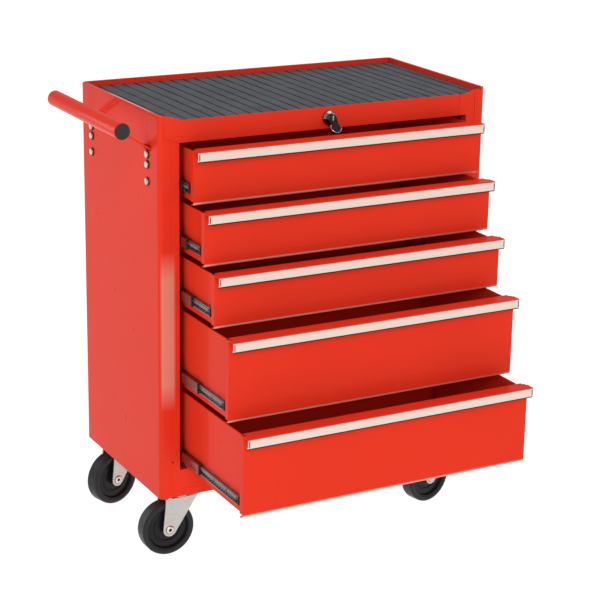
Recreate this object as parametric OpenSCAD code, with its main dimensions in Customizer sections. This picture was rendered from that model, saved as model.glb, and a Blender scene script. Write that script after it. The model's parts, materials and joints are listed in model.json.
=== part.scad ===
// Rolling tool cabinet: five drawers on ball slides, ribbed rubber top, side push
// handle, key lock and four swivel casters.
// The origin is on the floor, under the middle of the cabinet. +X runs to the right,
// -Y to the front (where the drawers open) and +Z up. All sizes are in millimetres.

/* [Cabinet] */
// Width over the side panels
cab_w = 615; // [480:1:760]
// Depth from the front frame to the back panel
cab_d = 320; // [290:1:400]
// Height of the cabinet body with its top rim
cab_h = 654; // [520:1:800]
// Thickness of the cabinet and drawer steel
sheet = 1.2; // [0.8:0.1:1.5]
// Width of each front post
post_w = 36; // [30:1:60]
// Height of the fascia over the drawers
fascia_h = 36.5; // [30:0.5:60]
// Height from the cabinet bottom to the drawer opening
rail_h = 48; // [30:1:80]
// Height of the rim over the rubber mat
rim_h = 9; // [4:0.5:16]

/* [Top mat] */
// Thickness of the rubber mat
mat_t = 3; // [2:0.5:5]
// Distance between grooves in the mat
groove_pitch = 22.7; // [12:0.1:40]

/* [Drawers] */
// Height of a shallow drawer front
shallow_h = 89.5; // [60:0.5:110]
// Gap between drawer fronts
front_gap = 2; // [1.5:0.5:4]
// Length of a drawer from its face to its back
drawer_l = 275; // [220:1:278]
// How far a drawer opens in all
travel = 250; // [230:1:255]
// How far drawer 1 stands open
open_1 = 46; // [0:1:230]
// How far drawer 2 stands open
open_2 = 85; // [0:1:230]
// How far drawer 3 stands open
open_3 = 122; // [0:1:230]
// How far drawer 4 stands open
open_4 = 173; // [0:1:230]
// How far drawer 5 stands open
open_5 = 226; // [0:1:230]
// How far the pull stands in front of the drawer face
pull_out = 16; // [12:0.5:24]
// Height of the pull strip
pull_h = 14; // [10:0.5:20]

/* [Slides] */
// Height of a slide's cabinet member
slide_h = 20; // [16:1:26]
// Thickness of a whole slide
slide_t = 9.5; // [9:0.5:14]

/* [Handle] */
// Diameter of the push bar
bar_d = 27; // [20:1:34]
// Length of the push bar
bar_l = 287; // [270:1:320]
// How far the bar's middle stands forward of the arms' middle
bar_fwd = 12.5; // [0:0.5:20]
// Distance from the side panel to the bar's axis
bar_out = 60; // [45:1:90]
// Distance from the top of the rim down to the bar's axis
bar_drop = 19.5; // [15:0.5:60]
// Distance between the two arms
arm_pitch = 233; // [180:1:280]

/* [Casters] */
// Diameter of a wheel
wheel_d = 95; // [70:1:110]
// Width of a wheel
wheel_w = 27; // [20:1:32]
// Distance from the wheel axle back to the swivel axis
trail = 22; // [16:1:30]
// Distance from the cabinet's side to the swivel axis
caster_in_x = 48; // [42:1:90]
// Distance from the cabinet's front or back to the swivel axis
caster_in_y = 38; // [36:1:60]
// Turn of the front left caster about its swivel axis
turn_fl = 0; // [-45:1:45]
// Turn of the front right caster
turn_fr = 12; // [-45:1:45]
// Turn of the rear left caster
turn_rl = 16; // [-45:1:45]
// Turn of the rear right caster
turn_rr = 8; // [-45:1:45]

/* [Lock] */
// Diameter of the lock's bezel
bezel_d = 25; // [20:1:30]
// Diameter of the key's round head
key_head_d = 19.4; // [16:0.2:20]

/* [Hidden] */
$fn = 48;

red = "crimson";
zinc = "silver";
t = sheet;
hw = cab_w / 2;
front_y = -cab_d / 2;
back_y = cab_d / 2;
// Casters: the crown sits over the wheel, the swivel race and the plate over the crown.
wheel_r = wheel_d / 2;
crown_z = wheel_d + 6.7;
crown_t = 2.2;
race_h = 9.1;
plate_t = 2.5;
base_z = crown_z + crown_t + race_h + plate_t;
top_z = base_z + cab_h;
mat_z = top_z - rim_h;
deck_z = mat_z - mat_t;
rim_t = 5;
bend_r = 7;
wrap_w = 19.5;
frame_y = front_y + 0.5;
// Opening for the drawers
open_hw = hw - post_w;
open_z0 = base_z + rail_h;
open_z1 = mat_z - fascia_h;
top_gap = 3.5;
deep_h = (open_z1 - open_z0 - top_gap - 3 * (shallow_h + front_gap)) / 2 - front_gap;
front_h = [shallow_h, shallow_h, shallow_h, deep_h, deep_h];
front_top = [for (i = [0:4]) open_z1 - top_gap
  - (i < 3 ? i * (shallow_h + front_gap) : 3 * (shallow_h + front_gap) + (i - 3) * (deep_h + front_gap))];
opened = [open_1, open_2, open_3, open_4, open_5];
front_hw = open_hw - 3;
tray_hw = open_hw - slide_t;
// Slides: centre height over the bottom edge of the front, and the middle members' rest places
slide_up = 23.5;
mid_l = 225;
mid_back = [22, 22, 22, 24, 46];
rail_l = drawer_l - 20;
// Fascia outline
corner_w = 40;
seam_rise = 0.32;
tab_x = open_hw - 16;
wrap_end = hw - 8;
flange_z = base_z + 13;
flange_hw = open_hw - 5.5;
// Lock
lock_z = (mat_z + open_z1) / 2 - 0.7;
lock_out = 8;
pivot_y = front_y - lock_out - 9;
pivot_z = lock_z - 4;
head_arm = key_head_d / 2 + 1.3;
lug_r = 2.4;
head_droop = 47;
// Handle
bar_x = -hw - bar_out;
bar_z = top_z - bar_drop;
arm_w = 25;
arm_t = 3;
arm_z = bar_z - 42;
bolt_z = [arm_z - 8, arm_z - 24.5, arm_z - 52.5];

// ---- 2D helpers -------------------------------------------------------------
function unit(v) = v / norm(v);
function left_of(v) = [-v[1], v[0]];
function dir(p, i) = unit(p[i + 1] - p[i]);
// Point i of a path moved to the path's left by d, with mitred corners
function moved(p, i, d) =
  i == 0 ? p[0] + d * left_of(dir(p, 0)) :
  i == len(p) - 1 ? p[i] + d * left_of(dir(p, i - 1)) :
  let (a = left_of(dir(p, i - 1)), b = left_of(dir(p, i))) p[i] + (a + b) * (d / (1 + a * b));
function shifted(p, d) = [for (i = [0:len(p) - 1]) moved(p, i, d)];
// Outline of a sheet of thickness d lying on the left of a path
function strip(p, d) = concat(p, [for (i = [len(p) - 1:-1:0]) moved(p, i, d)]);
function corner(p, i, r, n) =
  let (a = dir(p, i - 1), b = dir(p, i), s = a[0] * b[1] - a[1] * b[0] > 0 ? 1 : -1,
    phi = acos(a * b), q = p[i] - a * (r * tan(phi / 2)), c = q + left_of(a) * (s * r), v = q - c)
  [for (k = [0:n]) let (w = s * phi * k / n)
    c + [v[0] * cos(w) - v[1] * sin(w), v[0] * sin(w) + v[1] * cos(w)]];
// Path with corner i rounded to radius r[i], in n steps
function rounded(p, r, n) = [for (i = [0:len(p) - 1])
  each (i == 0 || i == len(p) - 1 || r[i] == 0 ? [p[i]] : corner(p, i, r[i], n))];
function arc(c, r, a0, a1, n) = [for (k = [0:n]) let (w = a0 + (a1 - a0) * k / n)
  c + r * [cos(w), sin(w)]];

// Extrudes an outline drawn in X and Z along +Y from y by l
module along_y(y, l) {
  translate([0, y + l, 0]) rotate([90, 0, 0]) linear_extrude(height = l) children();
}
// Extrudes an outline drawn in Y and Z along X, centred, over a width of w
module along_x(w) {
  translate([-w / 2, 0, 0]) rotate([90, 0, 90]) linear_extrude(height = w) children();
}
module block(x0, x1, y0, y1, z0, z1) {
  translate([x0, y0, z0]) cube([x1 - x0, y1 - y0, z1 - z0]);
}
// A cylinder along Y from y0 to y1
module rod_y(x, z, r, y0, y1) {
  translate([x, y1, z]) rotate([90, 0, 0]) cylinder(r = r, h = y1 - y0);
}
// A cylinder along X from x0 to x1
module rod_x(y, z, r, x0, x1) {
  translate([x0, y, z]) rotate([0, 90, 0]) cylinder(r = r, h = x1 - x0);
}

// ---- Cabinet ----------------------------------------------------------------
// Top edge of the front corner: distance in from the curve's inner end, height there
function corner_top(u) = mat_z + rim_h * sin(90 * min(1, max(0, u / corner_w)));

// Plan of the side panel's outer surface, for the left side
side_path = rounded([[-hw + 20.5, back_y], [-hw, back_y], [-hw, front_y],
  [-hw + wrap_w, front_y]], [0, 4, bend_r, 0], 6);
rim_path = rounded([[-hw, back_y - 4.2], [-hw, front_y], [-wrap_end, front_y]], [0, bend_r, 0], 6);

module side_sheet() {
  translate([0, 0, base_z]) linear_extrude(height = cab_h - 2 * t) polygon(strip(side_path, t));
  translate([0, 0, top_z - 3 * t]) linear_extrude(height = 3 * t) polygon(strip(rim_path, t));
  translate([0, 0, top_z - t]) linear_extrude(height = t) polygon(strip(rim_path, rim_t));
  translate([0, 0, deck_z + 0.1]) linear_extrude(height = top_z - deck_z - 0.1)
    polygon(strip(shifted(rim_path, rim_t - t), t));
}

// Space over the front corner's curved top edge, in X and Z, for the left side
module over_corner() {
  polygon(concat([for (k = [0:8]) let (u = corner_w * k / 8 - 6)
    [-(hw - corner_w) - u, corner_top(u)]], [[-wrap_end, corner_top(32)], [-wrap_end, top_z + 2],
    [-(hw - corner_w) + 6, top_z + 2]]));
}

module side_holes() {
  // Vent hole low on the post
  rod_y(-hw + 23, base_z + 64, 1.5, front_y - 2, front_y + 6);
}

module side_left() color(red) difference() {
  side_sheet();
  // Room for the fascia over its sloping seam
  along_y(front_y - 1, bend_r - 0.5) polygon([[-wrap_end + 0.01, open_z1 + (wrap_end - open_hw)
    * seam_rise - 0.3], [-open_hw, open_z1 - 0.3], [-open_hw, top_z + 1], [-wrap_end + 0.01,
    top_z + 1]]);
  for (s = [-1, 1]) {
    // Slot for the arm, and the bolt holes under it
    block(-hw - 1, -hw + 2.2, s * arm_pitch / 2 - arm_w / 2 - 1, s * arm_pitch / 2 + arm_w / 2 + 1,
      arm_z - 0.6, arm_z + 6.5);
    for (z = bolt_z) rod_x(s * arm_pitch / 2, z, 3.2, -hw - 1, -hw + 3);
  }
}

module side_right() color(red) difference() {
  mirror([1, 0, 0]) side_sheet();
  mirror([1, 0, 0]) along_y(front_y - 1, bend_r - 0.5) over_corner();
}

module back_panel() color(red) {
  block(-hw + rim_t + 0.2, hw - rim_t - 0.2, back_y - 2 * t - 0.1, back_y - t - 0.1, base_z + 2 * t,
    deck_z + 2);
  // Back rim, folded over like the sides
  difference() {
    block(-hw + rim_t + 0.2, hw - rim_t - 0.2, back_y - rim_t - 1.3, back_y - t - 0.1, deck_z, top_z);
    block(-hw, hw, back_y - rim_t - 0.1, back_y - 2 * t - 0.1, deck_z - 1, top_z - t);
  }
}

module top_panel() color(red) difference() {
  block(-hw + t + 0.1, hw - t - 0.1, front_y + t + 0.6, back_y - 2 * t - 0.2, deck_z - t, deck_z);
  for (s = [-1, 1]) translate([s * hw, front_y, deck_z - 2]) rotate([0, 0, 45]) cube(18, center = true);
}

groove_n = floor((hw - 16 + hw * 0.69) / groove_pitch);
groove_x0 = hw - 20;
module top_mat() color("dimgray") {
  mw = hw - rim_t - 0.3;
  pts = concat([[-mw, deck_z], [-mw, mat_z]], [for (k = [groove_n:-1:0]) let (x = groove_x0 - k
    * groove_pitch) each [[x - 1.2, mat_z], [x - 0.8, mat_z - 1.3], [x + 0.8, mat_z - 1.3],
    [x + 1.2, mat_z]]], [[mw, mat_z], [mw, deck_z]]);
  difference() {
    along_y(front_y + 2, cab_d - rim_t - 3.5) polygon(pts);
    for (s = [-1, 1]) translate([s * mw, front_y + 2, deck_z]) rotate([0, 0, 45]) cube(9, center = true);
  }
}

module front_frame() color(red) {
  x1 = hw - wrap_w - 0.3;
  rise = (x1 - open_hw) * seam_rise - 0.3;
  xc = hw - corner_w;
  difference() {
    along_y(frame_y, t) polygon(concat([[-x1, base_z], [-flange_hw - 0.2, base_z],
      [-flange_hw - 0.2, flange_z + 0.2], [flange_hw + 0.2, flange_z + 0.2],
      [flange_hw + 0.2, base_z], [x1, base_z]],
      [for (k = [6:-1:0]) let (u = (x1 - xc) * k / 6) [xc + u, corner_top(u)]],
      [[tab_x + 4, mat_z], [tab_x + 0.8, mat_z - 4], [tab_x + 0.8, open_z1], [open_hw, open_z1], [open_hw, open_z0],
      [-open_hw, open_z0], [-open_hw, open_z1 - 0.3], [-x1, open_z1 + rise]]));
    for (s = [-1, 1]) rod_y(s * (hw - 23), base_z + 64, 1.5, front_y - 2, front_y + 6);
  }
  // Returns round the opening
  for (s = [-1, 1]) block(s > 0 ? open_hw : -open_hw - t, s > 0 ? open_hw + t : -open_hw,
    frame_y + t / 2, front_y + 16, open_z0, open_z1 - 1);
  block(-open_hw - t, open_hw + t, frame_y + t / 2, front_y + 14, open_z0 - t, open_z0);
}

module fascia() color(red) {
  xc = hw - corner_w;
  difference() {
    along_y(front_y, t) polygon(concat([[-open_hw, open_z1], [tab_x, open_z1], [tab_x, mat_z],
      [-xc, mat_z]], [for (k = [1:8]) let (u = (wrap_end - 0.3 - xc) * k / 8) [-xc - u,
      corner_top(u)]], [[-wrap_end + 0.3, open_z1 + (wrap_end - 0.3 - open_hw) * seam_rise]]));
    rod_y(0, lock_z, 9.2, front_y - 2, front_y + 5);
  }
  // Lower return over the drawer opening
  block(-open_hw, tab_x, front_y + t / 2, front_y + 12, open_z1, open_z1 + t);
}

module bottom_panel() color(red) {
  difference() {
    block(-hw + t + 0.1, hw - t - 0.1, frame_y + t + 0.2, back_y - 2 * t - 0.2, base_z, base_z + t);
    for (s = [-1, 1]) translate([s * hw, front_y, base_z]) rotate([0, 0, 45]) cube(18, center = true);
  }
  // Front flange, seen as the lowest strip of the front
  block(-flange_hw, flange_hw, frame_y, frame_y + t, base_z, flange_z);
  block(-flange_hw, flange_hw, frame_y, frame_y + t + 1, base_z, base_z + t);
}

module slide_uprights() color(red) for (s = [0, 1]) mirror([s, 0, 0])
  for (y = [-arm_pitch / 2 + arm_w / 2 + 1.5, arm_pitch / 2 - arm_w / 2 - 31.5]) {
    block(-open_hw - t, -open_hw, y, y + 30, base_z + t + 0.1, open_z1 + 15);
    for (w = [0, 30 - t]) block(-hw + t + 0.1, -open_hw, y + w, y + w + t, base_z + t + 0.1,
      open_z1 + 15);
  }

// ---- Slides: channels drawn with X from the cabinet's inner face towards the drawer
function channel(u0, u1, h, w) = [[u1, -h], [u0, -h], [u0, h], [u1, h], [u1, h - w], [u0 + w, h - w],
  [u0 + w, -h + w], [u1, -h + w]];
function slide_z(i) = front_top[i] - front_h[i] + slide_up;
sh = slide_h / 2;

module slide_rails() color(zinc) for (i = [0:4], s = [0, 1]) mirror([s, 0, 0])
  translate([-open_hw, 0, slide_z(i)]) along_y(front_y + 11, drawer_l - 12)
    polygon(channel(0, slide_t - 1.5, sh, 1));

module slide_mid(i) color(zinc) for (s = [0, 1]) mirror([s, 0, 0])
  translate([-open_hw, 0, slide_z(i)]) along_y(front_y + mid_back[i] - opened[i] / 2, mid_l)
    polygon(channel(1.6, slide_t - 0.9, sh - 1.4, 1));

module drawer_rails(i) color(zinc) for (s = [0, 1]) mirror([s, 0, 0])
  translate([-open_hw, front_y - opened[i], slide_z(i)]) {
    translate([0, 17, 0]) along_y(0, rail_l)
      polygon([for (p = channel(0, slide_t - 3.4, sh - 2.8, 1)) [slide_t - p[0], p[1]]]);
    // Hooks through the drawer's side
    for (y = [40, 221]) block(slide_t - 0.5, slide_t + t + 3.2, y, y + 6, -4.5, 5.5);
  }

// ---- Drawers ----------------------------------------------------------------
module drawer_box(i) color(red) translate([0, front_y - opened[i], 0]) {
  z1 = front_top[i];
  z0 = z1 - front_h[i] + 3;
  zs = z1 - 5;
  y0 = 10;
  y1 = drawer_l;
  difference() {
    union() {
      block(-tray_hw, tray_hw, y0, y1, z0, z0 + t);
      block(-tray_hw, tray_hw, y0, y0 + t, z0, z1);
      block(-tray_hw, tray_hw, y1 - t, y1, z0, zs);
      for (s = [0, 1]) mirror([s, 0, 0]) {
        block(-tray_hw, -tray_hw + t, y0, y1, z0, zs);
        // Folded top edge of the side
        block(-tray_hw + t / 2, -tray_hw + 2 * t, y0, y1, zs - 9, zs);
      }
      // Folded top edges of the back and the front wall
      block(-tray_hw, tray_hw, y1 - 2 * t, y1 - t / 2, zs - 9, zs);
      block(-tray_hw, tray_hw, 1.3, y0 + t, z1 - t, z1);
    }
    for (s = [0, 1], y = [39.5, 220.5]) mirror([s, 0, 0])
      block(-tray_hw - 1, -tray_hw + t + 0.1, y, y + 7, slide_z(i) - 5, slide_z(i) + 6);
  }
}

module drawer_front(i) color(red) translate([0, front_y - opened[i], 0]) {
  z1 = front_top[i];
  z0 = z1 - front_h[i];
  path = rounded([[-pull_out + t, z1 - pull_h + 0.5], [-pull_out + t, z1 - t], [0, z1 - t], [0, z0],
    [9, z0]], [0, 0.8, 0, 5.5, 0], 6);
  along_x(2 * front_hw) polygon(strip(path, t));
  // Returns at the sides, with flanges on the box's front wall
  for (s = [0, 1]) mirror([s, 0, 0]) {
    block(-front_hw, -front_hw + t, t / 2, 10, z0 + 6, z1 - t - 0.5);
    block(-front_hw, -tray_hw + 8, 10 - t, 10, z0 + 6, z1 - t - 0.5);
  }
}

module drawer_pull(i) color("antiquewhite") translate([0, front_y - opened[i], 0]) {
  z1 = front_top[i] - 1;
  z0 = z1 - pull_h;
  y0 = -pull_out - 1.6;
  along_x(2 * front_hw - 1) polygon([[y0 + 0.5, z0], [-pull_out + 2.4, z0], [-pull_out + 2.4, z0 + 1.3],
    [-pull_out, z0 + 1.3], [-pull_out, z1], [y0 + 0.5, z1], [y0, z1 - 0.5], [y0, z0 + 0.5]]);
}

// ---- Lock and key -----------------------------------------------------------
module lock_housing() color("silver") difference() {
  union() {
    translate([0, front_y, lock_z]) rotate([90, 0, 0]) rotate_extrude()
      polygon([[0, 0], [bezel_d / 2, 0], [bezel_d / 2, lock_out - 4], [bezel_d / 2 - 2.5, lock_out],
      [0, lock_out]]);
    rod_y(0, lock_z, 9, front_y - 0.5, front_y + 12);
    translate([0, front_y + t + 3.2, lock_z]) rotate([90, 0, 0]) cylinder(d = 24, h = 3, $fn = 6);
  }
  rod_y(0, lock_z, 7.05, front_y - lock_out - 1, front_y + 13);
}

module lock_plug() color("gray") {
  difference() {
    rod_y(0, lock_z, 7, front_y - lock_out, front_y + 12.3);
    block(-1.1, 1.1, front_y - lock_out - 1, front_y + 4, lock_z - 4.1, lock_z + 4.1);
  }
  // Cam that turns down behind the top drawer's front wall
  rod_y(0, lock_z, 7, front_y + 12.3, front_y + 14.8);
  rod_y(19, lock_z, 5, front_y + 12.3, front_y + 14.8);
  translate([0, 0, lock_z]) along_y(front_y + 12.3, 2.5) polygon([[0.74, 6.96], [0.74, -6.96],
    [19.53, -4.97], [19.53, 4.97]]);
  translate([0, front_y + 17.8, lock_z]) rotate([90, 0, 0]) cylinder(d = 9, h = 3.1, $fn = 6);
}

module key_blade() color(zinc) {
  y = front_y - lock_out;
  block(-1, 1, y - 3, front_y + 4, lock_z - 4, lock_z + 4);
  // Collar and fork that carry the folding head
  difference() {
    union() {
      translate([0, y - 1, lock_z]) rotate([90, 0, 0]) cylinder(d = 17, h = 5, $fn = 6);
      for (s = [0, 1]) mirror([s, 0, 0]) {
        block(-6.2, -4.6, pivot_y, y - 5, pivot_z - lug_r, pivot_z + lug_r);
        rod_x(pivot_y, pivot_z, lug_r, -6.2, -4.6);
      }
    }
    rod_x(pivot_y, pivot_z, 0.8, -7, 7);
  }
  rod_x(pivot_y, pivot_z, 0.8, -6.4, 6.4);
}

module key_head() translate([0, pivot_y, pivot_z]) rotate([head_droop - 90, 0, 0]) {
  // Drawn hanging straight down from the pivot, then swung forward to its stop
  r = key_head_d / 2;
  color("black") difference() {
    union() {
      rod_y(0, -head_arm, r - 1, -1.7, 1.7);
      block(-4.3, 4.3, -1.7, 1.7, -head_arm + 4, 0);
      rod_x(0, 0, 1.7, -4.3, 4.3);
    }
    rod_x(0, 0, 0.86, -5, 5);
  }
  // Steel rim round the head
  color(zinc) difference() {
    rod_y(0, -head_arm, r, -0.9, 0.9);
    rod_y(0, -head_arm, r - 1, -2, 2);
    block(-4.31, 4.31, -2, 2, -head_arm + 4, 0);
  }
}

// ---- Handle -----------------------------------------------------------------
module handle_bar() color(red) translate([0, -bar_fwd, 0]) difference() {
  rod_y(bar_x, bar_z, bar_d / 2, -bar_l / 2, bar_l / 2);
  rod_y(bar_x, bar_z, bar_d / 2 - 1.5, -bar_l / 2 - 1, bar_l / 2 + 1);
}

module handle_caps() color("black") for (s = [0, 1]) translate([0, -bar_fwd, 0]) mirror([0, s, 0])
  translate([bar_x, -bar_l / 2, bar_z]) rotate([90, 0, 0]) rotate_extrude()
    polygon([[0, -14], [bar_d / 2 - 1.6, -14], [bar_d / 2 - 1.6, 0], [bar_d / 2 - 0.4, 0],
    [bar_d / 2 - 0.7, 1], [bar_d / 2 - 2, 1.7], [0, 2]]);

module handle_arms() color(red) for (s = [-1, 1]) difference() {
  along_y(s * arm_pitch / 2 - arm_w / 2, arm_w) polygon(strip(rounded([[bar_x, bar_z - 2],
    [-hw + t, arm_z], [-hw + t, arm_z - 62]], [0, 2, 0], 6), arm_t));
  rod_y(bar_x, bar_z, bar_d / 2, -bar_l, bar_l);
  for (z = bolt_z) rod_x(s * arm_pitch / 2, z, 3.2, -hw - 1, -hw + 8);
}

module handle_bolts() color(zinc) for (s = [-1, 1], z = bolt_z) {
  translate([-hw, s * arm_pitch / 2, z]) rotate([0, -90, 0]) rotate_extrude()
    polygon(concat([[0, 0], [6.4, 0], [6.4, 1.2], [5.4, 1.2], [5.4, 3]],
      [for (k = [1:5]) [5.4 * cos(18 * k), 3 + 1.7 * sin(18 * k)]]));
  rod_x(s * arm_pitch / 2, z, 3, -hw - 0.1, -hw + 12);
  translate([-hw + t + arm_t, s * arm_pitch / 2, z]) rotate([0, 90, 0]) cylinder(d = 11, h = 5, $fn = 6);
}

// ---- Casters ----------------------------------------------------------------
cx = hw - caster_in_x;
cy = cab_d / 2 - caster_in_y;
caster_at = [[-cx, -cy], [cx, -cy], [-cx, cy], [cx, cy]];
caster_turn = [turn_fl, turn_fr, turn_rl, turn_rr];
module at_caster(k) translate([caster_at[k][0], caster_at[k][1], 0]) rotate([0, 0, caster_turn[k]])
  children();

module caster_plates() color(zinc) for (p = caster_at) translate([p[0], p[1], 0]) {
  difference() {
    translate([-33, -32, base_z - plate_t]) cube([66, 64, plate_t]);
    for (sx = [-1, 1], sy = [-1, 1]) translate([sx * 33, sy * 32, base_z - plate_t - 1])
      rotate([0, 0, 45]) cube([6, 6, 20], center = true);
  }
  // Upper race, kingpin and its riveted head
  translate([0, 0, crown_z + crown_t + 0.3]) rotate_extrude()
    polygon([[0, 0], [17, 0], [22, 2.5], [22, 5], [19, 6.5], [18, race_h - 0.2], [0, race_h - 0.2]]);
  translate([0, 0, crown_z - 4]) cylinder(r = 5, h = race_h + 4);
  translate([0, 0, crown_z - 3.3]) cylinder(r1 = 7, r2 = 8, h = 3);
  for (sx = [-1, 1], sy = [-1, 1]) translate([sx * 26, sy * 25, base_z - plate_t - 3.5])
    cylinder(d = 9, h = 3.6, $fn = 6);
}

// A caster's fork, drawn round the swivel axis, with the wheel trailing to -X
tip_r = 12;
fork_in = wheel_w / 2 + 2;
fork_t = 2.2;
function tangent_a(c, r, p, s) = let (d = p - c, l = norm(d)) atan2(d[1], d[0]) + s * acos(r / l);
module cheek() {
  c = [-trail, wheel_r];
  a0 = tangent_a(c, tip_r, [-28.5, crown_z + 0.5], 1);
  a1 = tangent_a(c, tip_r, [28.5, crown_z + 0.5], -1) + 360;
  polygon(concat([[-28.5, crown_z + crown_t], [-28.5, crown_z + 0.5]], arc(c, tip_r, a0, a1, 20),
    [[28.5, crown_z + 0.5], [28.5, crown_z + crown_t]]));
}

module caster_fork(k) color(zinc) at_caster(k) difference() {
  union() {
    translate([0, 0, crown_z]) linear_extrude(height = crown_t) polygon(concat(
      arc([20, 7], 8.5, 0, 90, 5), arc([-20, 7], 8.5, 90, 180, 5), arc([-20, -7], 8.5, 180, 270, 5),
      arc([20, -7], 8.5, 270, 360, 5)));
    for (y = [-fork_in - fork_t, fork_in]) along_y(y, fork_t) cheek();
    for (y = [-fork_in - fork_t, fork_in - 2]) translate([-28.5, y, crown_z])
      cube([57, fork_t + 2, crown_t]);
  }
  translate([0, 0, crown_z - 1]) cylinder(r = 5.08, h = 10);
  rod_y(-trail, wheel_r, 4, -30, 30);
}

module caster_axle(k) color(zinc) at_caster(k) translate([-trail, 0, wheel_r]) rotate([90, 0, 0]) {
    e = fork_in + fork_t;
    difference() {
      union() {
        cylinder(r = 4, h = 2 * e + 0.2, center = true);
        for (s = [0, 1]) mirror([0, 0, s]) translate([0, 0, e]) rotate_extrude()
          polygon([[0, 0], [6.8, 0], [6.8, 0.9], [5.6, 1.9], [0, 1.9]]);
      }
      for (s = [0, 1]) mirror([0, 0, s]) translate([0, 0, e - 3]) cylinder(r = 3, h = 8);
    }
  }

hub_r = wheel_r - 8.5;
module wheel_half(pts) rotate_extrude($fn = 96)
  polygon(concat(pts, [for (i = [len(pts) - 1:-1:0]) [pts[i][0], -pts[i][1]]]));
module at_wheel(k) at_caster(k) translate([-trail, 0, wheel_r]) rotate([90, 0, 0]) children();
w2 = wheel_w / 2;

module caster_hub(k) color("darkslategray") at_wheel(k) wheel_half([[4.06, w2 + 1.6], [8, w2 + 1.6],
  [10.5, w2 - 1], [12, w2 - 6.5], [22, w2 - 6.5], [23, w2 - 4.8], [25.5, w2 - 4.8], [26.5, w2 - 6],
  [hub_r - 5, w2 - 6], [hub_r - 2.5, w2 - 1.2], [hub_r, w2 - 1.2]]);

module caster_tyre(k) color("black") at_wheel(k) wheel_half([[hub_r, w2 - 1], [hub_r + 1.4, w2 - 0.2],
  [wheel_r - 4, w2], [wheel_r - 1.8, w2 - 0.6], [wheel_r - 0.5, w2 - 2], [wheel_r, w2 - 4]]);

// ---- Drawing ----------------------------------------------------------------
side_left();
side_right();
back_panel();
top_panel();
top_mat();
front_frame();
fascia();
bottom_panel();
slide_uprights();
slide_rails();
lock_housing();
lock_plug();
key_blade();
key_head();
handle_bar();
handle_caps();
handle_arms();
handle_bolts();
caster_plates();
drawer_box(0);  // drawer_1_box
drawer_front(0);  // drawer_1_front
drawer_pull(0);  // drawer_1_pull
drawer_rails(0);  // drawer_1_rails
drawer_box(1);  // drawer_2_box
drawer_front(1);  // drawer_2_front
drawer_pull(1);  // drawer_2_pull
drawer_rails(1);  // drawer_2_rails
drawer_box(2);  // drawer_3_box
drawer_front(2);  // drawer_3_front
drawer_pull(2);  // drawer_3_pull
drawer_rails(2);  // drawer_3_rails
drawer_box(3);  // drawer_4_box
drawer_front(3);  // drawer_4_front
drawer_pull(3);  // drawer_4_pull
drawer_rails(3);  // drawer_4_rails
drawer_box(4);  // drawer_5_box
drawer_front(4);  // drawer_5_front
drawer_pull(4);  // drawer_5_pull
drawer_rails(4);  // drawer_5_rails
slide_mid(0);  // slide_mid_1
slide_mid(1);  // slide_mid_2
slide_mid(2);  // slide_mid_3
slide_mid(3);  // slide_mid_4
slide_mid(4);  // slide_mid_5
caster_fork(0);  // caster_fl_fork
caster_axle(0);  // caster_fl_axle
caster_hub(0);  // caster_fl_hub
caster_tyre(0);  // caster_fl_tyre
caster_fork(1);  // caster_fr_fork
caster_axle(1);  // caster_fr_axle
caster_hub(1);  // caster_fr_hub
caster_tyre(1);  // caster_fr_tyre
caster_fork(2);  // caster_rl_fork
caster_axle(2);  // caster_rl_axle
caster_hub(2);  // caster_rl_hub
caster_tyre(2);  // caster_rl_tyre
caster_fork(3);  // caster_rr_fork
caster_axle(3);  // caster_rr_axle
caster_hub(3);  // caster_rr_hub
caster_tyre(3);  // caster_rr_tyre
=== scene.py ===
import json
import math

import bmesh
import bpy
from mathutils import Matrix, Vector

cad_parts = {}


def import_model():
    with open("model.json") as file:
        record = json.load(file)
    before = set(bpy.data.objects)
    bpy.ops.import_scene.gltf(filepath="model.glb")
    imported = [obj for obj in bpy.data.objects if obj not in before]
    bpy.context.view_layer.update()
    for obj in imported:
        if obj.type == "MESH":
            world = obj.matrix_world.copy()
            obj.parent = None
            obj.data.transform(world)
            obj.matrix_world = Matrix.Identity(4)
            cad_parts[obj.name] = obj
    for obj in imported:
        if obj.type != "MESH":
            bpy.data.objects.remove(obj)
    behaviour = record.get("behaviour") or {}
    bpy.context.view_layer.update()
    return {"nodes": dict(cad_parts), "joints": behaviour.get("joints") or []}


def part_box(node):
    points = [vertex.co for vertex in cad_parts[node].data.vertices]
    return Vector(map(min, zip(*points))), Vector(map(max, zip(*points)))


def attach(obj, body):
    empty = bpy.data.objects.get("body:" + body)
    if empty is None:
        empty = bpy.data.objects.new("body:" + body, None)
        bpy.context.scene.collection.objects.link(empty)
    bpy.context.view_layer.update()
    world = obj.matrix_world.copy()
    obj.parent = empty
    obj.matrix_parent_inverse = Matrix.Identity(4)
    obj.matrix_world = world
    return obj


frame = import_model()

NODES = frame["nodes"]
JOINTS = {joint["name"]: joint for joint in frame["joints"]}
SCENE = bpy.context.scene
DRAWERS = (1, 2, 3, 4, 5)
CORNERS = ("fl", "fr", "rl", "rr")
SIDES = (-1, 1)
MM = 0.001
X, Y, Z = 0, 1, 2
# The outer face of the cabinet's left panel
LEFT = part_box("side_left")[0].x


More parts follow.
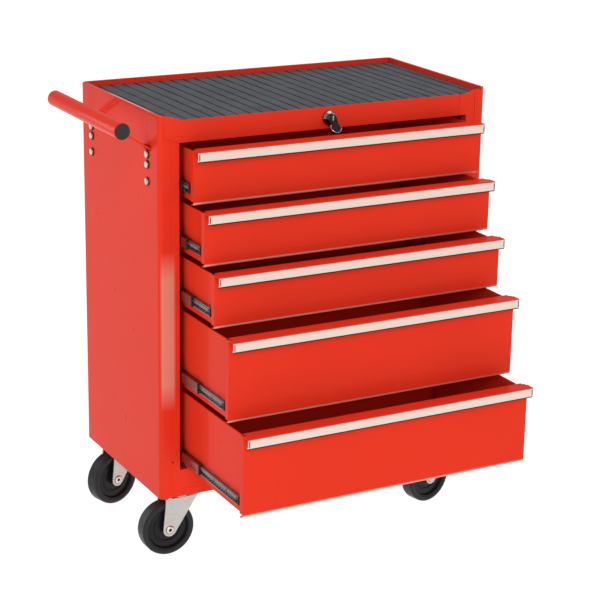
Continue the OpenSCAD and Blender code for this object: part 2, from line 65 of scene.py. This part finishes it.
# ---- Materials ---------------------------------------------------------------
class Shader:
    """One Principled material and short calls that wire procedural detail into it."""

    def __init__(self, name, color, rough, **sockets):
        self.mat = bpy.data.materials.new(name)
        self.mat.use_nodes = True
        self.mat.diffuse_color = (*color, 1)
        self.tree = self.mat.node_tree
        self.bsdf = self.tree.nodes["Principled BSDF"]
        self.feed(self.bsdf.inputs["Base Color"], color)
        self.feed(self.bsdf.inputs["Roughness"], rough)
        for key, value in sockets.items():
            self.feed(self.bsdf.inputs[key.replace("_", " ")], value)
        self.place = self.node("ShaderNodeTexCoord").outputs["Object"]

    def node(self, kind, **values):
        made = self.tree.nodes.new(kind)
        for key, value in values.items():
            setattr(made, key, value)
        return made

    def feed(self, socket, value):
        """Links another node's output to the socket, or sets a colour or a number on it."""
        if isinstance(value, bpy.types.NodeSocket):
            self.tree.links.new(value, socket)
        elif isinstance(value, tuple):
            socket.default_value = (*value, 1)
        else:
            socket.default_value = value

    def noise(self, scale, detail=2.0, rough=0.5, stretch=None):
        place = self.place
        if stretch:
            mapping = self.node("ShaderNodeMapping")
            self.feed(mapping.inputs["Vector"], place)
            mapping.inputs["Scale"].default_value = stretch
            place = mapping.outputs["Vector"]
        texture = self.node("ShaderNodeTexNoise")
        self.feed(texture.inputs["Scale"], scale)
        self.feed(texture.inputs["Detail"], detail)
        self.feed(texture.inputs["Roughness"], rough)
        self.feed(texture.inputs["Vector"], place)
        return texture.outputs["Fac"]

    def ramp(self, value, a, b, lo, hi):
        """value moved from the range lo..hi to the range a..b, held inside it."""
        made = self.node("ShaderNodeMapRange")
        self.feed(made.inputs["Value"], value)
        for key, number in (("From Min", lo), ("From Max", hi), ("To Min", a), ("To Max", b)):
            self.feed(made.inputs[key], number)
        return made.outputs["Result"]

    def band(self, value, start, end, soft):
        """1 between start and end and 0 outside them, fading over soft within both ends."""
        rise = self.ramp(value, 0.0, 1.0, start, start + soft)
        return self.math("MULTIPLY", rise, self.ramp(value, 1.0, 0.0, end - soft, end))

    def math(self, op, *values):
        made = self.node("ShaderNodeMath", operation=op)
        for k, value in enumerate(values):
            self.feed(made.inputs[k], value)
        return made.outputs["Value"]

    def mix(self, fac, a, b):
        made = self.node("ShaderNodeMix", data_type="RGBA")
        # Sockets 0, 6 and 7 and output 2 are the ones that a colour mix uses
        for k, value in ((0, fac), (6, a), (7, b)):
            self.feed(made.inputs[k], value)
        return made.outputs[2]

    def part_of(self, vector, axis):
        split = self.node("ShaderNodeSeparateXYZ")
        self.feed(split.inputs["Vector"], vector)
        return split.outputs[axis]

    def axis(self, which):
        return self.part_of(self.place, which)

    def world_normal(self, which):
        return self.part_of(self.node("ShaderNodeNewGeometry").outputs["Normal"], which)

    def painted_crevice_shade(self, value, dark, reach):
        """value, painted darker as shade in seams and beside whatever stands within the given
        distance (mm).
        """
        near = self.node("ShaderNodeAmbientOcclusion", samples=6)
        self.feed(near.inputs["Distance"], reach * MM)
        return self.mix(self.ramp(near.outputs["AO"], 1.0, 0.0, 0.15, 0.62), value, dark)

    def color(self, value):
        self.feed(self.bsdf.inputs["Base Color"], value)

    def rough(self, value):
        self.feed(self.bsdf.inputs["Roughness"], value)

    def bump(self, value, distance, strength):
        made = self.node("ShaderNodeBump")
        self.feed(made.inputs["Strength"], strength)
        self.feed(made.inputs["Distance"], distance)
        self.feed(made.inputs["Height"], value)
        self.feed(self.bsdf.inputs["Normal"], made.outputs["Normal"])


def scaled(color, k):
    return tuple(min(1.0, c * k) for c in color)


def bend_painted_reflection(s, base):
    """Painted reflection: the bend under a drawer's front is painted paler, as if it caught the pale
    floor, more to the left.
    """
    low = s.ramp(s.world_normal(Z), 1.0, 0.0, -0.26, -0.08)
    left = s.ramp(s.axis(X), 1.0, 0.35, -0.10, 0.28)
    return s.mix(s.math("MULTIPLY", low, left), base, (0.90, 0.46, 0.36))


def post_painted_sheen(s, base):
    """Painted sheen: a paler soft band painted on the front of the left post, standing in for a
    reflection.
    """
    height = s.band(s.axis(Z), 0.272, 0.545, 0.045)
    width = s.band(s.axis(X), LEFT + 0.5 * MM, LEFT + 29 * MM, 5 * MM)
    sheen = s.math("MULTIPLY", height, width)
    front = s.ramp(s.world_normal(Y), 1.0, 0.0, -0.9, -0.6)
    strength = s.math("MULTIPLY", s.math("MULTIPLY", sheen, front), 0.75)
    return s.mix(strength, base, (0.80, 0.33, 0.25))


def rim_painted_highlight(s, base):
    """Painted highlight: a bright line along the top of the left rim."""
    top = s.ramp(s.world_normal(Z), 0.0, 1.0, 0.6, 0.8)
    line = s.math("MULTIPLY", top, s.band(s.axis(X), LEFT + 3.3 * MM, LEFT + 5.7 * MM, 0.4 * MM))
    line = s.math("MULTIPLY", line, s.band(s.axis(Y), -0.135, 0.06, 0.03))
    return s.mix(line, base, (0.95, 0.80, 0.76))


def paint(name, color, effects=(), reach=4.0):
    """Gloss powder coat: a slight orange peel under a clear surface, and a faint cloudiness, with
    shade painted into seams and hollows.
    """
    s = Shader(name, color, 0.3, Coat_Weight=0.3, Coat_Roughness=0.05, Coat_IOR=1.17, IOR=1.08)
    clouds = s.ramp(s.noise(5.0, 3.0, 0.55), 0.0, 1.0, 0.3, 0.7)
    base = s.mix(clouds, scaled(color, 0.97), scaled(color, 1.03))
    flecks = s.ramp(s.noise(1400.0, 1.0), 0.0, 0.06, 0.66, 0.82)
    base = s.mix(flecks, base, scaled(color, 1.3))
    for effect in effects:
        base = effect(s, base)
    # Painted shade: the colour darkens in seams and near other surfaces
    s.color(s.painted_crevice_shade(base, scaled(color, 0.12), reach))
    s.rough(s.ramp(s.noise(14.0, 4.0, 0.6), 0.27, 0.34, 0.3, 0.7))
    s.bump(s.noise(300.0, 2.0, 0.45), 0.00008, 0.25)
    return s.mat


def plated(name, color, rough=0.34, grain=(1, 1, 1), spangle=0.05, shade_from_x=None):
    """Zinc plated or satin steel: mottled plating, fine drawn scratches, duller patches. The
    surface is painted black as shade to the right of the X that the last argument gives."""
    s = Shader(name, color, rough, Metallic=1.0)
    voronoi = s.node("ShaderNodeTexVoronoi")
    s.feed(voronoi.inputs["Scale"], 170.0)
    s.feed(voronoi.inputs["Vector"], s.place)
    cells = s.node("ShaderNodeSeparateColor")
    s.feed(cells.inputs["Color"], voronoi.outputs["Color"])
    mottled = s.mix(cells.outputs[0], scaled(color, 1 - spangle), scaled(color, 1 + spangle))
    dull = s.ramp(s.noise(22.0, 4.0, 0.6), 0.0, 0.45, 0.5, 0.75)
    base = s.mix(dull, mottled, scaled(color, 1 - 2.5 * spangle))
    if shade_from_x is not None:
        # Painted shade: black to the right of the given X
        base = s.mix(s.math("GREATER_THAN", s.axis(X), shade_from_x), base, (0.02, 0.012, 0.010))
    s.color(base)
    scratch = s.noise(60.0, 3.0, 0.6, stretch=grain)
    s.rough(s.ramp(scratch, rough - 0.08, rough + 0.14, 0.25, 0.75))
    s.bump(scratch, 0.00006, 0.5)
    return s.mat


def brushed(name, color, rough):
    """Extruded aluminium with die lines along X."""
    s = Shader(name, color, rough, Metallic=0.75)
    lines = s.noise(1.0, 3.0, 0.7, stretch=(6.0, 1500.0, 1500.0))
    s.color(s.mix(s.ramp(lines, 0.0, 1.0, 0.3, 0.7), scaled(color, 0.95), scaled(color, 1.04)))
    s.rough(s.ramp(lines, rough - 0.06, rough + 0.1, 0.25, 0.75))
    s.bump(lines, 0.00005, 0.5)
    return s.mat


def groove_painted_shade(s, base, groove, pitch):
    """Grooves across X painted dark as shade, one at groove and the others at this pitch, with uneven
    edges.
    """
    # Pitches counted from far to the left, so that the count is positive, and half a pitch
    # aside, so that it lies half way between two whole numbers at every groove
    start = groove - 100.5 * pitch
    count = s.math("DIVIDE", s.math("SUBTRACT", s.axis(X), start), pitch)
    off = s.math("ABSOLUTE", s.math("SUBTRACT", s.math("FRACT", count), 0.5))
    half_width = s.ramp(s.noise(30.0, 2.0), 1.1 * MM / pitch, 2.1 * MM / pitch, 0.35, 0.65)
    return s.mix(s.math("LESS_THAN", off, half_width), base, (0.004, 0.004, 0.006))


def rubber(name, color, rough, grain=900.0, depth=0.00012, grooves=None):
    """Any dull surface, moulded or painted: a fine stipple, cloudy tone and uneven polish."""
    s = Shader(name, color, rough, IOR=1.3)
    tone = s.ramp(s.noise(18.0, 4.0, 0.6), 0.0, 1.0, 0.3, 0.7)
    base = s.mix(tone, scaled(color, 0.86), scaled(color, 1.14))
    specks = s.ramp(s.noise(2200.0, 0.0), 0.0, 0.35, 0.6, 0.85)
    base = s.mix(specks, base, scaled(color, 1.8))
    if grooves:
        # The mat's grooves are painted dark as shade
        base = groove_painted_shade(s, base, *grooves)
    s.color(base)
    s.rough(s.ramp(s.noise(40.0, 3.0), rough - 0.06, rough + 0.08, 0.3, 0.7))
    s.bump(s.noise(grain, 2.0, 0.6), depth, 0.6)
    return s.mat


# The mat's first groove lies 20 mm in from the right side
GROOVES = (-LEFT - 20 * MM, 22.7 * MM)
RED = (0.80, 0.039, 0.016)
# Painted shade: the bolts are black from 1.3 mm outside the panel inwards, darkening the foot of
# their heads
BOLT_SHADE_FROM = LEFT - 1.3 * MM
DRAWN = (8, 0.12, 8)
M = {
    "red": paint("red_powder_coat", RED),
    # Painted shade reaches 26 mm into the drawer boxes, darkening their insides and corners
    "red_box": paint("red_powder_coat_box", RED, reach=26.0),
    # The left side and front frame carry a painted sheen on the post and a painted highlight on the
    # rim
    "red_side": paint("red_powder_coat_side", RED, (post_painted_sheen, rim_painted_highlight)),
    # The drawer fronts carry a painted floor reflection on their bottom bends
    "red_front": paint("red_powder_coat_front", RED, (bend_painted_reflection,)),
    "zinc": plated("zinc_plated_steel", (0.57, 0.555, 0.52), 0.46, (1, 1, 6), 0.025),
    "bright": plated("bright_zinc", (0.74, 0.70, 0.63)),
    "bolt": plated("bolt_zinc_with_painted_shade", (0.72, 0.62, 0.52), 0.42, spangle=0.04, shade_from_x=BOLT_SHADE_FROM),
    "rail": plated("slide_steel", (0.26, 0.25, 0.25), 0.22, DRAWN, 0.06),
    "rail_web": plated("slide_steel_light", (0.34, 0.34, 0.35), 0.3, DRAWN, 0.06),
    "trim": brushed("pull_aluminium", (0.82, 0.665, 0.58), 0.36),
    "mat": rubber("mat_rubber", (0.074, 0.079, 0.091), 0.6, 700.0, 0.00015, GROOVES),
    "chrome": plated("chrome_plate", (0.80, 0.80, 0.81), 0.10, spangle=0.01),
    "bezel": plated("lock_bezel_chrome", (0.30, 0.30, 0.31), 0.12, spangle=0.01),
    "core": plated("lock_core_metal", (0.22, 0.22, 0.23), 0.32),
    # Tan metal for the strip painted as a highlight on the key
    "highlight_tan": plated("key_painted_highlight", (0.72, 0.52, 0.30), 0.3),
    # Dark marks painted as shade in the slides' cage holes and ball gaps
    "slide_shade": plated("slide_painted_shade", (0.09, 0.09, 0.10), 0.4),
    # Steel in the real slide, but dull here so that it doesn't mirror the red round it
    "cage": rubber("ball_cage_steel", (0.30, 0.30, 0.30), 0.42),
    # Dark red for pieces that stand in for shade
    "seam": rubber("dark_seam", (0.020, 0.003, 0.003), 0.6),
    # Black plastic, also used for the pieces painted as shade at the axle ends
    "plastic": rubber("black_plastic", (0.03, 0.026, 0.024), 0.42),
    "key": rubber("key_plastic", (0.012, 0.012, 0.013), 0.28, 1500.0, 0.00005),
    "hub": rubber("hub_plastic", (0.008, 0.008, 0.009), 0.3),
    "tyre": rubber("tyre_rubber", (0.020, 0.021, 0.024), 0.42, 800.0, 0.0001),
}

# Materials by a node's whole name, or else by the last word of it; the other nodes are red
BY_NAME = {
    "top_mat": "mat", "side_left": "red_side", "front_frame": "red_side", "lock_housing": "bezel",
    "lock_plug": "core", "key_blade": "key", "key_head": "key", "handle_caps": "plastic",
    "handle_bolts": "bolt", "caster_plates": "zinc", "slide_rails": "rail",
}
BY_NAME.update({f"slide_mid_{i}": "rail" for i in DRAWERS})
BY_LAST_WORD = {
    "pull": "trim", "front": "red_front", "box": "red_box", "rails": "rail_web",
    "fork": "zinc", "axle": "bright", "hub": "hub", "tyre": "tyre",
}
# Bevel widths in mm
BEVEL = {"top_mat": 0.4, "handle_bar": 0.3, "side_left": 0.35, "side_right": 0.35}
USUAL_BEVEL = 0.25


def material_of(node):
    return BY_NAME.get(node) or BY_LAST_WORD.get(node.split("_")[-1], "red")


def finish(obj, material, smooth):
    """One material, and shading that stays sharp over edges of more than smooth degrees."""
    obj.data.materials.clear()
    obj.data.materials.append(material)
    obj.data.shade_smooth()
    obj.data.set_sharp_from_angle(angle=math.radians(smooth))


def bevel(obj, width):
    edge = obj.modifiers.new("edge", "BEVEL")
    edge.width = width * MM
    edge.segments = 2
    edge.limit_method = "ANGLE"
    edge.angle_limit = math.radians(40)
    return edge


for name, obj in NODES.items():
    finish(obj, M[material_of(name)], 32)
    bevel(obj, BEVEL.get(name, USUAL_BEVEL)).harden_normals = True


# ---- Added pieces -------------------------------------------------------------
def piece(name, bm, material, body, smooth=35, edge=0.0):
    mesh = bpy.data.meshes.new(name)
    bmesh.ops.remove_doubles(bm, verts=bm.verts, dist=1e-7)
    bmesh.ops.recalc_face_normals(bm, faces=bm.faces)
    bm.to_mesh(mesh)
    bm.free()
    obj = bpy.data.objects.new(name, mesh)
    SCENE.collection.objects.link(obj)
    finish(obj, M[material], smooth)
    if edge:
        bevel(obj, edge)
    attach(obj, body)


def ring_faces(bm, a, b):
    """Faces between two rings of vertices; a ring of one vertex makes a point."""
    for k in range(max(len(a), len(b))):
        following = (k + 1) % max(len(a), len(b))
        if len(a) == 1:
            bm.faces.new((a[0], b[k], b[following]))
        elif len(b) == 1:
            bm.faces.new((a[k], a[following], b[0]))
        else:
            bm.faces.new((a[k], a[following], b[following], b[k]))


def prism(bm, outline, start, end, axis=X):
    """A closed prism over an outline (m), between two places on an axis, in either order."""
    rings = []
    for place in sorted((start, end)):
        points = [list(point) for point in outline]
        for point in points:
            point.insert(axis, place)
        rings.append([bm.verts.new(point) for point in points])
        bm.faces.new(rings[-1])
    ring_faces(bm, *rings)


def lathe(bm, profile, centre, direction, steps=20):
    """A solid of revolution: profile holds (distance from the axis, distance along it) in mm."""
    turn = Vector((0, 0, 1)).rotation_difference(Vector(direction)).to_matrix()
    rings = []
    for radius, along in profile:
        count = steps if radius else 1
        angles = [2 * math.pi * k / steps for k in range(count)]
        points = [Vector((radius * math.cos(w), radius * math.sin(w), along)) for w in angles]
        rings.append([bm.verts.new(Vector(centre) + turn @ point * MM) for point in points])
    for a, b in zip(rings, rings[1:]):
        ring_faces(bm, a, b)


def rect(low, high):
    """The outline of a rectangle between its lowest and highest corners."""
    return [low, (high[0], low[1]), high, (low[0], high[1])]


def slot_outline(middle, height, half_l, half_h, steps=6):
    """A slot with round ends, along the outline's first axis."""
    points = []
    for side in (1, -1):
        for k in range(steps + 1):
            w = math.radians(180 * k / steps - 90 * side)
            points.append((middle + side * (half_l - half_h) + half_h * math.cos(w),
                           height + half_h * math.sin(w)))
    return points


def slide_fittings(i):
    """Bumper, ball cages, release lever, rear stop, rivet and balls in the slides' drawer
    members. Sizes are in mm from the rail's front end, its middle height and its web."""
    low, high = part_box(f"drawer_{i}_rails")
    middle = (low.z + high.z) / 2
    length = (high.y - low.y) / MM
    web = high.x - 5.1 * MM
    plastic, cages, shade_marks = bmesh.new(), bmesh.new(), bmesh.new()

    def outline(points):
        return [(low.y + y * MM, middle + z * MM) for y, z in points]

    # Bumper: a C whose lower half mirrors the upper
    half = [(0.5, 5.7), (13, 5.7), (13, 4.0), (4.5, 4.0), (3.2, 2.0)]
    bumper = [(y, -z) for y, z in half] + half[::-1]
    lever_start, lever_end, steps = 20, 104, 10
    arch = [(lever_start + (lever_end - lever_start) * k / steps,
             4.1 + 0.9 * math.sin(math.pi * k / steps)) for k in range(steps + 1)]
    lever = arch + [(y, 2.4) for y, _ in reversed(arch)]
    rear_stop = slot_outline(length - 16, 0, 9, 4.6)
    rivet = [(3.0, 0), (3.0, 0.5), (2.4, 1.3), (1.2, 1.7), (0, 1.75)]
    ball = [(0, -1.0), (0.7, -0.7), (1.0, 0), (0.7, 0.7), (0, 1.0)]
    for s in SIDES:
        def out(depth):
            return s * (web + depth * MM)

        prism(plastic, outline(bumper), out(0.0), out(4.4))
        # Ball cages: strips with a row of punched holes, each drawn as a dark mark painted as the
        # shade in it
        for start, end in ((14.5, 47), (51, 92), (96, 137), (141, 205)):
            prism(cages, outline(rect((start, -2.9), (end, 1.9))), out(0.0), out(1.5))
            for k in range(int((end - start) / 4)):
                punched = slot_outline(start + 2 + 4 * k, -0.5, 0.7, 0.69, 3)
                prism(shade_marks, outline(punched), out(1.4), out(1.62))
        prism(plastic, outline(lever), out(0.0), out(2.6))
        prism(plastic, outline(rear_stop), out(0.0), out(3.6))
        lathe(cages, rivet, (out(0.1), low.y + 214 * MM, middle), (s, 0, 0))
        # Balls over and under the web, and a dark strip painted as the shade in the gap that they run
        # in
        for side in SIDES:
            for k in range(26):
                lathe(cages, ball, (out(3.2), low.y + (22 + 8.6 * k) * MM, middle + side * 5.15 * MM),
                      (0, 0, 1), 8)
            height = side * 5.55
            prism(shade_marks, outline(rect((16, height - 0.35), (244, height + 0.35))), out(1.8), out(4.6))
    body = f"drawer_{i}"
    piece(f"drawer_{i}_slide_plastic", plastic, "plastic", body, edge=0.25)
    piece(f"drawer_{i}_slide_cages", cages, "cage", body, 50)
    piece(f"drawer_{i}_slide_shade_marks", shade_marks, "slide_shade", body)


def mid_clips(i):
    """Retainer plate and collar at the front end of each middle member."""
    low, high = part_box(f"slide_mid_{i}")
    middle, half = (low.z + high.z) / 2, (high.z - low.z) / 2
    front = low.y
    tall = half - 0.5 * MM
    taper = 0.45 * tall
    lower = [(front, -tall), (front + 24 * MM, -tall), (front + 29 * MM, -taper)]
    plate_outline = [(y, middle + z) for y, z in lower] + [(y, middle - z) for y, z in lower[::-1]]
    outside, inside = half + 0.25 * MM, half - 1.05 * MM
    plates, collars = bmesh.new(), bmesh.new()
    for s in SIDES:
        prism(plates, plate_outline, s * (high.x + 0.02 * MM), s * (high.x + 0.36 * MM))
        # Collar: a C in X and Z round the channel's end
        back, face = s * (high.x - 6.6 * MM), s * (high.x + 0.3 * MM)
        web = s * (high.x - 0.95 * MM)
        upper = [(face, outside), (back, outside), (back, inside), (web, inside)]
        collar = [(x, middle + z) for x, z in upper] + [(x, middle - z) for x, z in upper[::-1]]
        prism(collars, collar, front - 3.0 * MM, front - 0.02 * MM, Y)
    body = f"slide_middle_{i}"
    piece(f"slide_mid_{i}_plates", plates, "rail", body)
    piece(f"slide_mid_{i}_collars", collars, "plastic", body, edge=0.15)


def pull_shade_lines(i):
    """Painted shade: a dark strip under each pull strip for the shade in the gap, and dark patches
    near the strip's ends for the shade inside its hollow section.
    """
    low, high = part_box(f"drawer_{i}_pull")
    face = low.y
    gap, ends = bmesh.new(), bmesh.new()
    gap_outline = rect((face + 0.75 * MM, low.z - 1.7 * MM), (face + 3.6 * MM, low.z + 0.05 * MM))
    prism(gap, gap_outline, low.x + 0.6 * MM, high.x - 0.6 * MM)
    end_outline = rect((face - 0.03 * MM, low.z + 1.6 * MM), (face + 0.3 * MM, high.z - 1.6 * MM))
    for s in SIDES:
        prism(ends, end_outline, s * (high.x - 3.0 * MM), s * (high.x - 1.4 * MM))
    piece(f"drawer_{i}_pull_gap_shade", gap, "seam", f"drawer_{i}")
    piece(f"drawer_{i}_pull_end_shade", ends, "seam", f"drawer_{i}")


def bolt_details():
    """Painted shade: dark rings under the handle bolts' heads, standing in for the shade round them.
    """
    low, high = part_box("handle_bolts")
    head_r, pitch = 6.4 * MM, 16.5 * MM
    shade_ring = [(6.0, 0.02), (7.8, 0.02), (7.6, 0.42), (6.0, 0.46), (6.0, 0.02)]
    bm = bmesh.new()
    for y in (low.y + head_r, high.y - head_r):
        for z in (high.z - head_r, high.z - head_r - pitch, low.z + head_r):
            lathe(bm, shade_ring, (LEFT, y, z), (-1, 0, 0), 24)
    piece("handle_bolt_shade_rings", bm, "seam", "cabinet")


def axle_details():
    """Painted shade at the hollow axle ends: a black disc deep in the bore and a black ring where the
    head meets the cheek, both standing in for shade.
    """
    # Both distances are from the wheel's middle; the bore's floor lies 3 mm under the cheek
    floor_at, cheek_at = 14.75 * MM, 17.72 * MM
    bore = [(0, 0), (2.95, 0), (2.95, 2.2), (2.2, 2.2), (1.4, 1.0), (0, 0.9)]
    ring = [(6.9, 0), (7.8, 0), (7.6, 0.3), (6.9, 0.3), (6.9, 0)]
    for corner in CORNERS:
        joint = JOINTS[f"wheel_{corner}_roll"]
        at, along = Vector(joint["pos_m"]), Vector(joint["axis"]).normalized()
        bm = bmesh.new()
        for s in SIDES:
            lathe(bm, bore, at + s * along * floor_at, s * along, 16)
            lathe(bm, ring, at + s * along * cheek_at, s * along, 24)
        piece(f"caster_{corner}_axle_end_shade", bm, "plastic", f"caster_{corner}")


def key_highlight_strip():
    """Painted highlight: a tan metal strip on the front of the key, standing in for a highlight on
    its front edge, in front of the lock's housing.
    """
    low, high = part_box("lock_housing")
    middle = (low.z + high.z) / 2
    y = low.y - 6.0 * MM
    half_w, half_h = 0.9 * MM, 6.6 * MM
    bm = bmesh.new()
    prism(bm, rect((-half_w, middle - half_h), (half_w, middle + half_h)),
          y - 1.1 * MM, y + 0.2 * MM, Y)
    piece("key_highlight_strip", bm, "highlight_tan", "lock_cylinder", edge=0.3)


def key_ring():
    """Steel ring round the key's head, open where the fork's lugs hold it."""
    droop = math.radians(47)
    toward = Vector((0, math.cos(droop), math.sin(droop)))
    normal = Vector((0, -math.sin(droop), math.cos(droop)))
    # The head's middle hangs 11 mm from its pin
    middle = Vector(JOINTS["key_head_fold"]["pos_m"]) - 11 * MM * toward
    ring_r, wire_r = 9.15 * MM, 0.85 * MM
    # The wire is deeper than it is wide
    wire_depth = 1.35 * wire_r
    open_from, arc, steps, sides = 145, 250, 36, 10
    turns = [2 * math.pi * k / sides for k in range(sides)]
    bm = bmesh.new()
    rings = []
    for k in range(steps + 1):
        w = math.radians(open_from + arc * k / steps)
        out = Vector((math.cos(w), 0, 0)) + math.sin(w) * toward
        rings.append([bm.verts.new(middle + (ring_r + wire_r * math.cos(turn)) * out
                                   + wire_depth * math.sin(turn) * normal) for turn in turns])
    for a, b in zip(rings, rings[1:]):
        ring_faces(bm, a, b)
    bm.faces.new(rings[0])
    bm.faces.new(rings[-1])
    piece("key_ring", bm, "chrome", "key_bow", 60)


for i in DRAWERS:
    slide_fittings(i)
    mid_clips(i)
    pull_shade_lines(i)
bolt_details()
axle_details()
key_highlight_strip()
key_ring()


# ---- Stage, light and camera --------------------------------------------------
def area(name, at, target, size, power):
    data = bpy.data.lights.new(name, "AREA")
    data.shape = "RECTANGLE"
    data.size, data.size_y = size
    data.energy = power
    lamp = bpy.data.objects.new(name, data)
    SCENE.collection.objects.link(lamp)
    lamp.location = at
    lamp.rotation_euler = (Vector(target) - Vector(at)).to_track_quat("-Z", "Y").to_euler()


def floor():
    """A dark grey floor that glows white: it looks white, but reflects little of the red."""
    half = 30.0
    mesh = bpy.data.meshes.new("floor")
    corners = [(-half, -half, 0), (half, -half, 0), (half, half, 0), (-half, half, 0)]
    mesh.from_pydata(corners, [], [(0, 1, 2, 3)])
    obj = bpy.data.objects.new("floor", mesh)
    SCENE.collection.objects.link(obj)
    s = Shader("floor_white", (0.93, 0.93, 0.93), 0.85, Emission_Strength=1.0)
    s.feed(s.bsdf.inputs["Emission Color"], (1.0, 1.0, 1.0))
    s.color(s.mix(s.noise(1.5, 2.0), (0.11, 0.11, 0.11), (0.13, 0.13, 0.13)))
    mesh.materials.append(s.mat)


def camera():
    """The photo's camera, as solved from the cart's corners."""
    target, distance = Vector((0.37179, 0.6063, 0.1559)), 4.00122
    azimuth, elevation, roll = (math.radians(d) for d in (-28.729, 17.572, 1.043))
    back = Vector((math.sin(azimuth) * math.cos(elevation),
                   -math.cos(azimuth) * math.cos(elevation), math.sin(elevation)))
    right = (-back).cross(Vector((0, 0, 1))).normalized()
    up = right.cross(-back)
    rolled_right = right * math.cos(roll) + up * math.sin(roll)
    rolled_up = -right * math.sin(roll) + up * math.cos(roll)
    data = bpy.data.cameras.new("camera")
    data.sensor_width = 36.0
    data.lens = 109.566
    data.clip_start, data.clip_end = 0.05, 100.0
    cam = bpy.data.objects.new("camera", data)
    SCENE.collection.objects.link(cam)
    placed = Matrix((rolled_right, rolled_up, back)).transposed().to_4x4()
    placed.translation = target + back * distance
    cam.matrix_world = placed
    SCENE.camera = cam


def world():
    studio = bpy.data.worlds.new("studio")
    studio.use_nodes = True
    background = studio.node_tree.nodes["Background"]
    background.inputs["Color"].default_value = (1.0, 1.0, 1.0, 1)
    background.inputs["Strength"].default_value = 0.47
    SCENE.world = studio


floor()
camera()
world()
area("key", (-1.4, -3.6, 2.3), (0.0, -0.2, 0.5), (1.6, 1.6), 54)
area("left", (-2.4, 3.4, 1.3), (-0.3, 0.0, 0.45), (0.9, 2.4), 26)
area("top", (0.4, 0.3, 3.4), (0.0, 0.0, 0.5), (2.0, 2.0), 24)
SCENE.view_settings.view_transform = "Standard"
SCENE.view_settings.look = "None"
